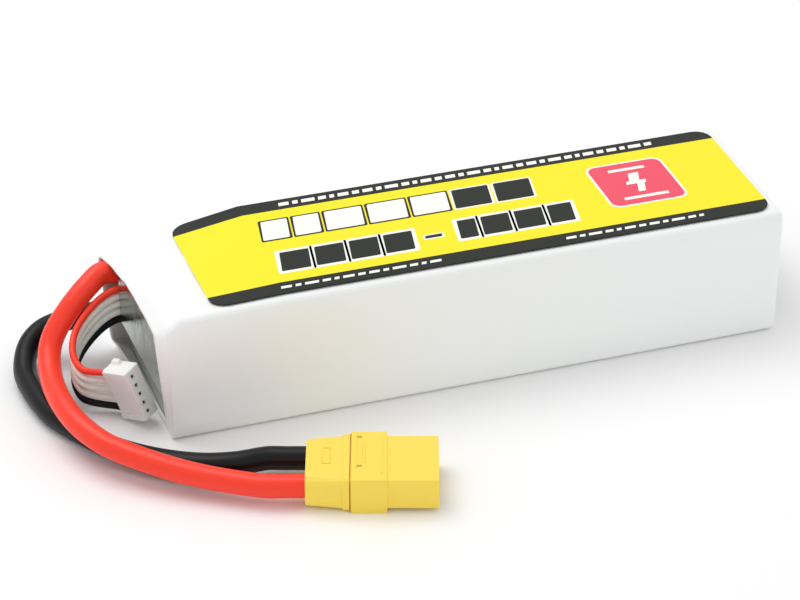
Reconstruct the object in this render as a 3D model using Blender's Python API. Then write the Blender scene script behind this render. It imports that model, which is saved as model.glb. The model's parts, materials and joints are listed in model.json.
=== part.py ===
"""Soft-case lithium polymer battery pack with power plug and balance plug.

Frame: metres, +Z up. The pack lies flat with its underside on z = 0, its long
axis on X and its open, lead end at -X. The origin is at the middle of the
wrapped pack's footprint. Sizes below are in millimetres; MM turns them to metres.
"""

import math

import bmesh
import bpy
from mathutils import Matrix, Vector

MM = 0.001

# --- wrapped pack -----------------------------------------------------------
PACK_LENGTH = 161.4
PACK_WIDTH = 45.6
PACK_HEIGHT = 34.0
SLEEVE_WALL = 0.5
SLEEVE_CORNER = 1.8
SKIRT_NEAR_FOOT = 0.2
SKIRT_FAR_LEAD = 3.9
SKIRT_TOP_LEAD = 2.3
SLOPE_RUN = 28.6
SHOULDER_RUN = 3.0
MOUTH_NEAR_DROP = 3.0
MOUTH_FAR_DROP = 5.0
SHOULDER_DROP = 0.8
LIP_NEAR_INSET = 3.6
LIP_FAR_INSET = 1.4
LIP_TOP_INSET = 3.2
LIP_BOTTOM = 1.4
REAR_ROUND = 2.0
REAR_FLANGE = 6.0

# --- label ------------------------------------------------------------------
LABEL_WIDTH = 41.6
LABEL_FRONT_MARGIN = 17.8
LABEL_REAR_MARGIN = 2.6
LABEL_CORNER = 4.0
LABEL_THICKNESS = 0.3

# --- cells and stack --------------------------------------------------------
FIT_GAP = 0.3
STACK_GAP = 0.2
TAPE_THICKNESS = 0.25
TAPE_WIDTH = 12.0
TAPE_INSET = 22.0
CELL_COUNT = 4
CELL_PAD_THICKNESS = 0.4
CELL_PAD_MARGIN = 4.0
CELL_EDGE = 1.2
TERRACE_LENGTH = 10.5
TERRACE_THICKNESS = 1.5
TERRACE_MARGIN = 2.0
REAR_FOAM_THICKNESS = 3.0
REAR_FOAM_MARGIN = 3.0

# --- tabs, board and foil at the lead end -----------------------------------
TAB_WIDTH = 8.0
TAB_THICKNESS = 0.4
TAB_REACH = 5.6
TAB_SIDE = 16.6
CARD_THICKNESS = 0.4
BOARD_THICKNESS = 1.0
BOARD_SETBACK = 5.5
BOARD_MARGIN = 4.6
FOIL_THICKNESS = 0.3
FOIL_NEAR_SETBACK = 1.2
FOIL_FAR_LEAD = 3.7
FOIL_SIDE_MARGIN = 4.0
FOIL_BOTTOM = 4.2
FOIL_FAR_RISE = 9.4
FOIL_FAR_DROP = 1.7

# --- leads ------------------------------------------------------------------
LEAD_DIAMETER = 5.6
LEAD_SPACING = 10.9
LEAD_EXIT_Y = 17.6
RED_EXIT_Z = 23.4
BLACK_EXIT_Z = 13.4
WIRE_DIAMETER = 1.7
WIRE_COUNT = 5
WIRE_EXIT_Y = 13.2
WIRE_EXIT_Z = 17.4
WIRE_EXIT_PITCH = 2.15
CORD_STEP_IN_DIAMETERS = 2.0

# --- power plug: local X runs from the tail to the mating face --------------
POWER_PLUG_TAIL = (30.8, -50.3)
POWER_PLUG_TURN_DEG = -18.2
COLLAR_WIDTH = 19.4
COLLAR_HEIGHT = 9.2
COLLAR_LENGTH = 8.3
NOSE_WIDTH = 18.5
NOSE_HEIGHT = 7.8
NOSE_LENGTH = 11.8
NOSE_LIFT = 0.35
NOSE_CHAMFER = 0.9
HOUSING_EDGE = 0.15
CONTACT_BORE = 4.5
CONTACT_WALL = 0.6
CONTACT_RECESS = 1.0
CONTACT_CLEARANCE = 0.15
SOCKET_DEPTH = 11.0
CUP_REACH = 5.4
CUP_BORE = 4.2
CUP_DEPTH = 4.4
JOINT_SLEEVE_WALL = 0.3
CAP_LENGTH = 10.3
CAP_TAIL_WIDTH = 18.7
CAP_TAIL_HEIGHT = 8.6
CAP_FRONT_WIDTH = 19.3
CAP_FRONT_HEIGHT = 9.0
CAP_TAIL_WALL = 3.0
CAP_TRAVEL = 7.0
SNAP_RIDGE = 0.25
SNAP_LENGTH = 1.4
BORE_CLEARANCE = 0.25

# --- balance plug: local X to the mating face, local Z up the row of ways ---
BALANCE_MATING_CENTRE = (1.4, -14.2)
BALANCE_FACING = (0.54, -0.79, 0.28)
BALANCE_UP = (-0.325, 0.1665, 0.93)
BALANCE_REST_HEIGHT = 0.3
BALANCE_PITCH = 2.5
BALANCE_END_WALL = 1.9
BALANCE_EDGE = 0.25
BALANCE_DEPTH = 7.8
BALANCE_THICKNESS = 4.7
WAY_WIDTH = 2.05
WAY_OFFSET = -0.6
PIN_HOLE_WIDTH = 1.0
FRONT_WALL = 1.0
WIRE_ENTRY = 2.5
TERMINAL_WIDTH = 1.5
KEY_START = 1.0
KEY_LENGTH = 2.2
KEY_WIDTH = 1.4
KEY_OFFSET = 1.2
KEY_HEIGHT = 1.1

# --- routes: points in millimetres, their X measured from the sleeve's mouth ---
RED_ROUTE = [
    (-0.1, 17.2, 24.4),
    (-3.8, 15.2, 23.1),
    (-8.3, 12.8, 20.2),
    (-12.4, 10.7, 16.4),
    (-14.7, 8.9, 13.8),
    (-16.2, 6.2, 11.6),
    (-17.2, 1.5, 9.7),
    (-17.6, -4.5, 8.9),
    (-17.2, -12.4, 8.8),
    (-15.8, -19.4, 8.5),
    (-13.4, -25.4, 8.0),
    (-10.2, -30.2, 7.3),
    (-2.8, -37.4, 6.3),
    (3.8, -42.6, 5.5),
    (11.2, -47.4, 4.9),
]
BLACK_ROUTE = [
    (-0.6, 18.0, 13.1),
    (-5.6, 19.5, 11.9),
    (-10.6, 21.2, 10.0),
    (-14.8, 21.9, 8.1),
    (-18.2, 20.0, 6.3),
    (-20.4, 16.4, 4.4),
    (-21.5, 11.4, 3.1),
    (-21.3, 5.8, 2.9),
    (-20.4, -1.0, 2.9),
    (-19.0, -6.7, 2.9),
    (-16.7, -11.8, 2.9),
    (-13.7, -17.0, 2.9),
    (-10.2, -22.4, 2.9),
    (-6.2, -27.2, 2.9),
    (0.6, -33.2, 3.1),
    (8.8, -38.8, 3.8),
    (16.4, -41.8, 4.5),
]
WIRE_ROUTE = [
    (1.9, 13.2, 17.3),
    (-1.9, 12.2, 16.2),
    (-6.2, 9.8, 14.0),
    (-9.4, 6.6, 12.0),
    (-11.2, 2.8, 10.0),
    (-11.4, -0.8, 8.4),
    (-10.0, -4.0, 7.4),
]

# --- values that follow from the ones above ---------------------------------
REAR_X = PACK_LENGTH / 2
MOUTH_X = -PACK_LENGTH / 2
MOUTH_TOP_NEAR = PACK_HEIGHT - MOUTH_NEAR_DROP
MOUTH_TOP_FAR = PACK_HEIGHT - MOUTH_FAR_DROP
PLATE_TOP = MOUTH_TOP_FAR - SLEEVE_WALL - 2 * FIT_GAP
CREASE_X = MOUTH_X + SKIRT_NEAR_FOOT + SKIRT_FAR_LEAD + SKIRT_TOP_LEAD
SLOPE_X = CREASE_X + SLOPE_RUN
HALF_WIDTH = PACK_WIDTH / 2
STACK_SIDE = HALF_WIDTH - SLEEVE_WALL - STACK_GAP - TAPE_THICKNESS - STACK_GAP
STACK_BOTTOM = SLEEVE_WALL + STACK_GAP + TAPE_THICKNESS + STACK_GAP
STACK_TOP = PACK_HEIGHT - STACK_BOTTOM
CELL_SPACING = CELL_PAD_THICKNESS + 2 * STACK_GAP
CELL_THICKNESS = (STACK_TOP - STACK_BOTTOM - (CELL_COUNT - 1) * CELL_SPACING) / CELL_COUNT
CELL_REAR_X = REAR_X - SLEEVE_WALL - FIT_GAP - REAR_FOAM_THICKNESS - FIT_GAP
CELL_FRONT_X = SLOPE_X - SHOULDER_RUN
TERRACE_FRONT_X = CELL_FRONT_X - TERRACE_LENGTH
FOIL_NEAR_X = CREASE_X + FOIL_NEAR_SETBACK
FOIL_FAR_X = CREASE_X - FOIL_FAR_LEAD
BOARD_X = CREASE_X + BOARD_SETBACK
CARD_X = BOARD_X + BOARD_THICKNESS + FIT_GAP
LINK_X = TERRACE_FRONT_X - TAB_REACH
MAIN_TAB_X = LINK_X - 2 * TAB_THICKNESS
LEAD_START_X = MAIN_TAB_X - FIT_GAP
BOARD_FAR_Y = LEAD_EXIT_Y - LEAD_DIAMETER / 2 - 2 * FIT_GAP
FOIL_FAR_Y = WIRE_EXIT_Y - WIRE_DIAMETER / 2 - 2 * FIT_GAP
COLLAR_X = CAP_LENGTH
NOSE_X = COLLAR_X + COLLAR_LENGTH
FACE_X = NOSE_X + NOSE_LENGTH
PLUG_AXIS_Z = COLLAR_HEIGHT / 2
CUP_X = COLLAR_X - CUP_REACH
LEAD_END_X = CUP_X - FIT_GAP
CONTACT_RADIUS = CONTACT_BORE / 2 + CONTACT_WALL
JOINT_SLEEVE_INNER = max(LEAD_DIAMETER / 2 + STACK_GAP, CONTACT_RADIUS + CONTACT_CLEARANCE)
JOINT_SLEEVE_OUTER = JOINT_SLEEVE_INNER + JOINT_SLEEVE_WALL
CAVITY_RADIUS = JOINT_SLEEVE_OUTER + BORE_CLEARANCE
BALANCE_ROW = (WIRE_COUNT - 1) * BALANCE_PITCH
BALANCE_HEIGHT = BALANCE_ROW + 2 * BALANCE_END_WALL
WIRE_END_X = WIRE_ENTRY - BALANCE_DEPTH
TERMINAL_END_X = -FRONT_WALL - FIT_GAP

# --- mesh resolution --------------------------------------------------------
CORNER_STEPS = 4
TOP_DIVISIONS = 6
ROUND_SIDES = 20
CURVE_SAMPLES = 24

# --- finishes: sRGB-like linear colour, roughness, metallic ------------------
FINISHES = {
    "shrink_film": ((0.86, 0.86, 0.86), 0.35, 0.0),
    "label_film": ((0.95, 0.82, 0.05), 0.3, 0.0),
    "cell_pouch": ((0.72, 0.73, 0.75), 0.35, 0.9),
    "pad_foam": ((0.08, 0.08, 0.09), 0.9, 0.0),
    "fibre_tape": ((0.75, 0.6, 0.2), 0.5, 0.0),
    "foil": ((0.6, 0.62, 0.62), 0.3, 1.0),
    "board": ((0.02, 0.18, 0.08), 0.5, 0.0),
    "card": ((0.35, 0.28, 0.18), 0.8, 0.0),
    "tab_metal": ((0.7, 0.7, 0.68), 0.3, 1.0),
    "red_silicone": ((0.8, 0.02, 0.015), 0.45, 0.0),
    "black_silicone": ((0.01, 0.01, 0.011), 0.45, 0.0),
    "white_silicone": ((0.8, 0.8, 0.78), 0.45, 0.0),
    "yellow_nylon": ((0.95, 0.6, 0.02), 0.4, 0.0),
    "gold": ((0.9, 0.65, 0.25), 0.2, 1.0),
    "white_nylon": ((0.85, 0.85, 0.83), 0.4, 0.0),
    "shrink_tube": ((0.02, 0.02, 0.02), 0.6, 0.0),
}


def clear_scene():
    """Removes every object that the scene starts with."""
    for old in list(bpy.data.objects):
        bpy.data.objects.remove(old, do_unlink=True)


def finish_material(name):
    """The Principled material of this finish, made once."""
    known = bpy.data.materials.get(name)
    if known:
        return known
    colour, roughness, metallic = FINISHES[name]
    material = bpy.data.materials.new(name)
    material.use_nodes = True
    shader = material.node_tree.nodes["Principled BSDF"]
    shader.inputs["Base Color"].default_value = (*colour, 1.0)
    shader.inputs["Roughness"].default_value = roughness
    shader.inputs["Metallic"].default_value = metallic
    material.diffuse_color = (*colour, 1.0)
    return material


def add_object(name, data, finish, parent=None):
    """Links an object with its finish, under a placing empty where it has one."""
    obj = bpy.data.objects.new(name, data)
    bpy.context.scene.collection.objects.link(obj)
    if finish:
        data.materials.append(finish_material(finish))
    obj.parent = parent
    return obj


def loft(loops, wrap=False, capped=True):
    """Skins a list of equal loops of points (mm) into a mesh in metres."""
    bm = bmesh.new()
    rings = []
    for loop in loops:
        rings.append([bm.verts.new(Vector(point) * MM) for point in loop])
    pairs = list(zip(rings, rings[1:]))
    if wrap:
        pairs.append((rings[-1], rings[0]))
    for first, second in pairs:
        count = len(first)
        for i in range(count):
            j = (i + 1) % count
            bm.faces.new((first[i], first[j], second[j], second[i]))
    if capped and not wrap:
        bm.faces.new(rings[0])
        bm.faces.new(rings[-1])
    bmesh.ops.recalc_face_normals(bm, faces=bm.faces)
    return bm


def solid(name, bm, finish, parent=None, smooth_angle=None):
    """Turns a bmesh into a named object, smooth up to the angle given."""
    mesh = bpy.data.meshes.new(name)
    bm.to_mesh(mesh)
    bm.free()
    if smooth_angle:
        mesh.shade_smooth()
        mesh.set_sharp_from_angle(angle=math.radians(smooth_angle))
    return add_object(name, mesh, finish, parent)


def box(low, high):
    """A box between two corners in mm."""
    loops = []
    for x in (low[0], high[0]):
        ring = [(x, low[1], low[2]), (x, high[1], low[2]), (x, high[1], high[2]), (x, low[1], high[2])]
        loops.append(ring)
    return loft(loops)


def bevelled(obj, width, segments=2):
    """Adds a rounded edge of this width in mm to a solid."""
    bevel = obj.modifiers.new("edge", "BEVEL")
    bevel.width = width * MM
    bevel.segments = segments
    bevel.limit_method = "ANGLE"
    return obj


def cut(obj, cutter):
    """Subtracts a cutter from a solid and hides the cutter."""
    cutter.hide_render = True
    cutter.display_type = "WIRE"
    subtract = obj.modifiers.new("cut", "BOOLEAN")
    subtract.operation = "DIFFERENCE"
    subtract.object = cutter


def joined(obj, addition):
    """Adds a second solid to the first and hides the second."""
    addition.hide_render = True
    addition.display_type = "WIRE"
    union = obj.modifiers.new("join", "BOOLEAN")
    union.operation = "UNION"
    union.object = addition


def rounded_section(x, near, far, low, top_near, top_far, radius):
    """A rounded four-sided loop across X, from y = near to y = far, whose top may slope."""
    corners = (
        (near + radius, low + radius, 180),
        (far - radius, low + radius, 270),
        (far - radius, top_far - radius, 0),
        (near + radius, top_near - radius, 90),
    )
    loop = []
    for index, (y, z, start) in enumerate(corners):
        for step in range(CORNER_STEPS + 1):
            angle = math.radians(start + 90 * step / CORNER_STEPS)
            loop.append(Vector((x, y + radius * math.cos(angle), z + radius * math.sin(angle))))
        if index == 2:
            end = Vector((x, near + radius, top_near))
            begin = loop[-1].copy()
            for step in range(1, TOP_DIVISIONS):
                loop.append(begin.lerp(end, step / TOP_DIVISIONS))
    return loop


def circle(x, y, z, radius):
    """A round loop across X."""
    loop = []
    for step in range(ROUND_SIDES):
        angle = 2 * math.pi * step / ROUND_SIDES
        loop.append((x, y + radius * math.cos(angle), z + radius * math.sin(angle)))
    return loop


def turned(y, z, profile):
    """A turned solid along X from (x, radius) steps, closed by a disc at each end."""
    return loft([circle(x, y, z, radius) for x, radius in profile])


def sleeve_tops(x):
    """Height of the wrapped pack's top at its near and far edge."""
    if x >= SLOPE_X:
        return PACK_HEIGHT, PACK_HEIGHT
    share = (SLOPE_X - x) / SLOPE_RUN
    far = PACK_HEIGHT + (MOUTH_TOP_FAR - PACK_HEIGHT) * share
    shoulder_x = CREASE_X + SHOULDER_RUN
    shoulder_z = PACK_HEIGHT - SHOULDER_DROP
    if x >= shoulder_x:
        near = PACK_HEIGHT - SHOULDER_DROP * (SLOPE_X - x) / (SLOPE_X - shoulder_x)
    else:
        near = shoulder_z + (MOUTH_TOP_NEAR - shoulder_z) * (shoulder_x - x) / SHOULDER_RUN
    return near, far


def mouth_lip():
    """Edge of the open end, which reaches further out at the top and on the far side."""
    near = LIP_NEAR_INSET - HALF_WIDTH
    far = HALF_WIDTH - LIP_FAR_INSET
    top_near = MOUTH_TOP_NEAR - LIP_TOP_INSET
    top_far = MOUTH_TOP_FAR - LIP_TOP_INSET / 2
    loop = rounded_section(CREASE_X, near, far, LIP_BOTTOM, top_near, top_far, SLEEVE_CORNER)
    for point in loop:
        across = (point.y - near) / (far - near)
        up = (point.z - LIP_BOTTOM) / (max(top_near, top_far) - LIP_BOTTOM)
        far_reach = SKIRT_FAR_LEAD * across**3
        top_reach = SKIRT_TOP_LEAD * (1 - (1 - up) ** 3)
        point.x -= SKIRT_NEAR_FOOT + far_reach + top_reach
    return loop


def make_shrink_sleeve():
    """Film sleeve: sloped and drawn in at the open lead end, turned in at the rear."""
    slope_steps = 5
    shoulder_x = CREASE_X + SHOULDER_RUN
    loops = [mouth_lip()]
    stations = [CREASE_X]
    for step in range(slope_steps + 1):
        stations.append(shoulder_x + (SLOPE_X - shoulder_x) * step / slope_steps)
    stations.append(0.0)
    stations.append(REAR_X - REAR_ROUND)
    for x in stations:
        near_top, far_top = sleeve_tops(x)
        loops.append(rounded_section(x, -HALF_WIDTH, HALF_WIDTH, 0.0, near_top, far_top, SLEEVE_CORNER))
    rear_steps = 3
    for step in range(1, rear_steps + 1):
        angle = math.radians(90 * step / rear_steps)
        inset = REAR_ROUND * (1 - math.cos(angle))
        x = REAR_X - REAR_ROUND * (1 - math.sin(angle))
        side = HALF_WIDTH - inset
        loops.append(
            rounded_section(x, -side, side, inset, PACK_HEIGHT - inset, PACK_HEIGHT - inset, SLEEVE_CORNER)
        )
    side = HALF_WIDTH - REAR_FLANGE
    top = PACK_HEIGHT - REAR_FLANGE
    loops.append(rounded_section(REAR_X, -side, side, REAR_FLANGE, top, top, SLEEVE_CORNER))
    sleeve = solid("shrink_sleeve", loft(loops, capped=False), "shrink_film", smooth_angle=35)
    wall = sleeve.modifiers.new("wall", "SOLIDIFY")
    wall.thickness = SLEEVE_WALL * MM
    wall.offset = -1.0
    wall.use_even_offset = True


def label_half_width(distance):
    """Half width of the label at this distance from its end, inside its round corners."""
    full = LABEL_WIDTH / 2
    if distance >= LABEL_CORNER:
        return full
    reach = LABEL_CORNER - distance
    return full - LABEL_CORNER + math.sqrt(LABEL_CORNER**2 - reach**2)


def make_label():
    """Film label that lies on the sleeve's top and follows its slope."""
    start = MOUTH_X + LABEL_FRONT_MARGIN
    end = REAR_X - LABEL_REAR_MARGIN
    corner = []
    for step in range(CORNER_STEPS + 1):
        corner.append(LABEL_CORNER * (1 - math.cos(math.radians(90 * step / CORNER_STEPS))))
    stations = [start + distance for distance in corner]
    slope_steps = 3
    for step in range(1, slope_steps + 1):
        stations.append(stations[len(corner) - 1] + (SLOPE_X - start - LABEL_CORNER) * step / slope_steps)
    stations += [0.0]
    stations += [end - distance for distance in reversed(corner)]
    flat_half = HALF_WIDTH - SLEEVE_CORNER
    loops = []
    for x in stations:
        half = label_half_width(min(x - start, end - x))
        near_top, far_top = sleeve_tops(x)
        under = []
        over = []
        for step in range(TOP_DIVISIONS + 1):
            y = half * (2 * step / TOP_DIVISIONS - 1)
            z = near_top + (far_top - near_top) * (y + flat_half) / (2 * flat_half) + FIT_GAP
            under.append((x, y, z))
            over.append((x, y, z + LABEL_THICKNESS))
        loops.append(under + list(reversed(over)))
    solid("label", loft(loops), "label_film")


def cell_bottom(index):
    """Height of the underside of a cell, counted from the lowest."""
    return STACK_BOTTOM + index * (CELL_THICKNESS + CELL_SPACING)


def cell_middle(index):
    """Height of a cell's seam and tabs."""
    return cell_bottom(index) + CELL_THICKNESS / 2


def make_cells():
    """Pouch cells, each with a thin sealed terrace towards the lead end."""
    for index in range(CELL_COUNT):
        low = cell_bottom(index)
        high = low + CELL_THICKNESS
        seam_low = cell_middle(index) - TERRACE_THICKNESS / 2
        seam_high = seam_low + TERRACE_THICKNESS
        terrace_side = STACK_SIDE - TERRACE_MARGIN
        terrace_edge = TERRACE_THICKNESS / 3
        soft = CELL_EDGE / 2
        steps = (
            (TERRACE_FRONT_X, terrace_side, seam_low, seam_high, terrace_edge),
            (CELL_FRONT_X, terrace_side, seam_low, seam_high, terrace_edge),
            (CELL_FRONT_X, STACK_SIDE - soft, low + soft, high - soft, CELL_EDGE),
            (CELL_FRONT_X + soft, STACK_SIDE, low, high, CELL_EDGE),
            (CELL_REAR_X - soft, STACK_SIDE, low, high, CELL_EDGE),
            (CELL_REAR_X, STACK_SIDE - soft, low + soft, high - soft, CELL_EDGE),
        )
        loops = []
        for x, side, bottom, top, radius in steps:
            loops.append(rounded_section(x, -side, side, bottom, top, top, radius))
        solid(f"cell_{index + 1}", loft(loops), "cell_pouch", smooth_angle=40)


def make_cell_pads():
    """Adhesive foam sheets between the cells."""
    side = STACK_SIDE - CELL_PAD_MARGIN
    for index in range(CELL_COUNT - 1):
        low = cell_bottom(index) + CELL_THICKNESS + STACK_GAP
        start = (CELL_FRONT_X + CELL_PAD_MARGIN, -side, low)
        end = (CELL_REAR_X - CELL_PAD_MARGIN, side, low + CELL_PAD_THICKNESS)
        solid(f"cell_pad_{index + 1}", box(start, end), "pad_foam")


def make_stack_tapes():
    """Two bands of fibre tape round the cells."""
    inner_side = STACK_SIDE + STACK_GAP
    inner_low = STACK_BOTTOM - STACK_GAP
    inner_high = STACK_TOP + STACK_GAP
    radius = CELL_EDGE
    starts = {
        "stack_tape_front": CELL_FRONT_X + TAPE_INSET,
        "stack_tape_rear": CELL_REAR_X - TAPE_INSET - TAPE_WIDTH,
    }
    for name, start in starts.items():
        loops = []
        for x, grow in ((start, 0), (start, 1), (start + TAPE_WIDTH, 1), (start + TAPE_WIDTH, 0)):
            wall = grow * TAPE_THICKNESS
            side = inner_side + wall
            low = inner_low - wall
            high = inner_high + wall
            loops.append(rounded_section(x, -side, side, low, high, high, radius + wall))
        solid(name, loft(loops, wrap=True), "fibre_tape", smooth_angle=40)


def make_rear_foam():
    """Foam block between the cells and the turned-in rear of the sleeve."""
    start_x = CELL_REAR_X + FIT_GAP
    side = STACK_SIDE - REAR_FOAM_MARGIN
    low = (start_x, -side, STACK_BOTTOM + REAR_FOAM_MARGIN)
    high = (start_x + REAR_FOAM_THICKNESS, side, STACK_TOP - REAR_FOAM_MARGIN)
    bevelled(solid("rear_foam", box(low, high), "pad_foam"), 0.6)


def extruded(outline, near, far):
    """A flat outline of (x, z) points carried from y = near to y = far."""
    return loft([[(x, y, z) for x, z in outline] for y in (near, far)])


def make_tab_links():
    """Folded series links between neighbouring cells, on alternate sides."""
    start = TERRACE_FRONT_X - FIT_GAP
    half = TAB_THICKNESS / 2
    for index in range(CELL_COUNT - 1):
        low = cell_middle(index)
        high = cell_middle(index + 1)
        outline = (
            (start, low - half),
            (LINK_X, low - half),
            (LINK_X, high + half),
            (start, high + half),
            (start, high - half),
            (LINK_X + TAB_THICKNESS, high - half),
            (LINK_X + TAB_THICKNESS, low + half),
            (start, low + half),
        )
        middle = TAB_SIDE if index % 2 else -TAB_SIDE
        bm = extruded(outline, middle - TAB_WIDTH / 2, middle + TAB_WIDTH / 2)
        solid(f"tab_link_{index + 1}", bm, "tab_metal")


def make_main_tabs():
    """End tabs that carry the two power leads."""
    start = TERRACE_FRONT_X - FIT_GAP
    half = TAB_THICKNESS / 2
    reach = LEAD_DIAMETER / 2
    ends = (
        ("main_tab_plus", cell_middle(CELL_COUNT - 1), RED_EXIT_Z - reach, 1),
        ("main_tab_minus", cell_middle(0), BLACK_EXIT_Z + reach, -1),
    )
    for name, seam, end, way in ends:
        outline = (
            (start, seam + way * half),
            (MAIN_TAB_X, seam + way * half),
            (MAIN_TAB_X, end),
            (MAIN_TAB_X + TAB_THICKNESS, end),
            (MAIN_TAB_X + TAB_THICKNESS, seam - way * half),
            (start, seam - way * half),
        )
        bm = extruded(outline, TAB_SIDE - TAB_WIDTH / 2, TAB_SIDE + TAB_WIDTH / 2)
        solid(name, bm, "tab_metal")


def make_lead_end_plates():
    """Insulating card and balance board behind the foil."""
    near = BOARD_MARGIN - HALF_WIDTH
    low = STACK_BOTTOM + BOARD_MARGIN / 2
    board_top = min(WIRE_EXIT_Z + (WIRE_COUNT + 1) * WIRE_EXIT_PITCH / 2 + BOARD_MARGIN, PLATE_TOP)
    plates = (
        ("tab_card", CARD_X, CARD_THICKNESS, near, BOARD_FAR_Y, low, board_top, "card"),
        ("balance_board", BOARD_X, BOARD_THICKNESS, near, BOARD_FAR_Y, low, board_top, "board"),
    )
    for name, x, thickness, near_y, far_y, bottom, top, finish in plates:
        solid(name, box((x, near_y, bottom), (x + thickness, far_y, top)), finish)


def make_end_foil():
    """Foil that faces the mouth: it leans out and its lower edge climbs towards the far side."""
    stations = (
        (FOIL_NEAR_X, FOIL_SIDE_MARGIN - HALF_WIDTH, FOIL_BOTTOM, PLATE_TOP),
        (FOIL_FAR_X, FOIL_FAR_Y, FOIL_BOTTOM + FOIL_FAR_RISE, PLATE_TOP - FOIL_FAR_DROP),
    )
    loops = []
    for x, y, low, high in stations:
        back = x + FOIL_THICKNESS
        loops.append([(x, y, low), (back, y, low), (back, y, high), (x, y, high)])
    solid("end_foil", loft(loops), "foil")


def smooth_route(route):
    """Dense points of a smooth curve through the route's points."""
    points = [Vector(point) for point in route]
    tangents = []
    for i, point in enumerate(points):
        before = points[max(i - 1, 0)]
        after = points[min(i + 1, len(points) - 1)]
        length = (point - before).length + (after - point).length
        tangents.append((after - before) / length)
    dense = [points[0]]
    for i in range(len(points) - 1):
        start = points[i]
        end = points[i + 1]
        reach = (end - start).length / 3
        first = start + tangents[i] * reach
        second = end - tangents[i + 1] * reach
        for step in range(1, CURVE_SAMPLES + 1):
            t = step / CURVE_SAMPLES
            s = 1 - t
            dense.append(s**3 * start + 3 * s * s * t * first + 3 * s * t * t * second + t**3 * end)
    return dense


def even_points(route, spacing):
    """Points about this far apart along the smooth curve, both ends kept."""
    dense = smooth_route(route)
    along = [0.0]
    for first, second in zip(dense, dense[1:]):
        along.append(along[-1] + (second - first).length)
    count = max(2, round(along[-1] / spacing))
    points = []
    index = 0
    for step in range(count + 1):
        target = along[-1] * step / count
        while index < len(along) - 2 and along[index + 1] < target:
            index += 1
        share = (target - along[index]) / (along[index + 1] - along[index])
        points.append(dense[index].lerp(dense[index + 1], share))
    return points


def make_cord(name, route, diameter, resolution, finish):
    """A round cord along a route in mm."""
    points = even_points(route, CORD_STEP_IN_DIAMETERS * diameter)
    curve = bpy.data.curves.new(name, "CURVE")
    curve.dimensions = "3D"
    curve.bevel_depth = diameter / 2 * MM
    curve.bevel_resolution = resolution
    curve.use_fill_caps = True
    spline = curve.splines.new("POLY")
    spline.points.add(len(points) - 1)
    for target, point in zip(spline.points, points):
        target.co = (*(point * MM), 1.0)
    add_object(name, curve, finish)


def placing_empty(name, matrix):
    """An empty that places the pieces of a plug."""
    empty = bpy.data.objects.new(name, None)
    bpy.context.scene.collection.objects.link(empty)
    empty.matrix_world = matrix
    return empty


def power_plug_matrix():
    """Place of the power plug: its tail's foot, turned about Z (translation in mm)."""
    turn = Matrix.Rotation(math.radians(POWER_PLUG_TURN_DEG), 4, "Z")
    x, y = POWER_PLUG_TAIL
    return Matrix.Translation((MOUTH_X + x, y, 0.0)) @ turn


def balance_plug_matrix():
    """Place of the balance plug, set so that its lowest corner just clears the ground (in mm)."""
    facing = Vector(BALANCE_FACING).normalized()
    up = Vector(BALANCE_UP)
    up = (up - up.dot(facing) * facing).normalized()
    across = up.cross(facing)
    turn = Matrix((facing, across, up)).transposed().to_4x4()
    corners = []
    for x in (0.0, -BALANCE_DEPTH):
        for y in (-BALANCE_THICKNESS / 2, BALANCE_THICKNESS / 2):
            corners.append(turn @ Vector((x, y, -BALANCE_HEIGHT / 2)))
    for x in (KEY_START - BALANCE_DEPTH, KEY_START + KEY_LENGTH - BALANCE_DEPTH):
        for y in (KEY_OFFSET - KEY_WIDTH / 2, KEY_OFFSET + KEY_WIDTH / 2):
            corners.append(turn @ Vector((x, y, -BALANCE_HEIGHT / 2 - KEY_HEIGHT)))
    height = BALANCE_REST_HEIGHT - min(corner.z for corner in corners)
    x, y = BALANCE_MATING_CENTRE
    return Matrix.Translation((MOUTH_X + x, y, height)) @ turn


def metres(matrix):
    """The same placing with its translation in metres."""
    placed = matrix.copy()
    placed.translation = matrix.translation * MM
    return placed


def lead_y(way):
    """Local Y of a power lead: -1 is the near (plus) side, 1 the far (minus) side."""
    return way * LEAD_SPACING / 2


def make_power_leads(plug_matrix):
    """Red and black leads from the main tabs to the solder cups."""
    straight = CAP_TRAVEL + 2.0
    for name, way, exit_z, middle, finish in (
        ("red_lead", -1, RED_EXIT_Z, RED_ROUTE, "red_silicone"),
        ("black_lead", 1, BLACK_EXIT_Z, BLACK_ROUTE, "black_silicone"),
    ):
        route = [
            (LEAD_START_X, LEAD_EXIT_Y, exit_z),
            (CREASE_X, LEAD_EXIT_Y, exit_z),
        ]
        route += [(MOUTH_X + x, y, z) for x, y, z in middle]
        for x in (-straight, -straight / 2, LEAD_END_X):
            route.append(tuple(plug_matrix @ Vector((x, lead_y(way), PLUG_AXIS_Z))))
        make_cord(name, route, LEAD_DIAMETER, 4, finish)


def make_balance_wires(plug_matrix):
    """Five thin wires from the board to the balance plug, stacked one above the other."""
    finishes = ["red_silicone"] + ["white_silicone"] * (WIRE_COUNT - 2) + ["black_silicone"]
    for index, finish in enumerate(finishes):
        place = (WIRE_COUNT - 1) / 2 - index
        rise = place * WIRE_EXIT_PITCH
        route = [
            (BOARD_X - FIT_GAP, WIRE_EXIT_Y, WIRE_EXIT_Z + rise),
            (CREASE_X, WIRE_EXIT_Y, WIRE_EXIT_Z + rise),
        ]
        for x, y, z in WIRE_ROUTE:
            route.append((MOUTH_X + x, y, z + rise))
        for x in (-BALANCE_DEPTH - WIRE_ENTRY, WIRE_END_X):
            route.append(tuple(plug_matrix @ Vector((x, WAY_OFFSET, place * BALANCE_PITCH))))
        make_cord(f"balance_wire_{index + 1}", route, WIRE_DIAMETER, 2, finish)


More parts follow.
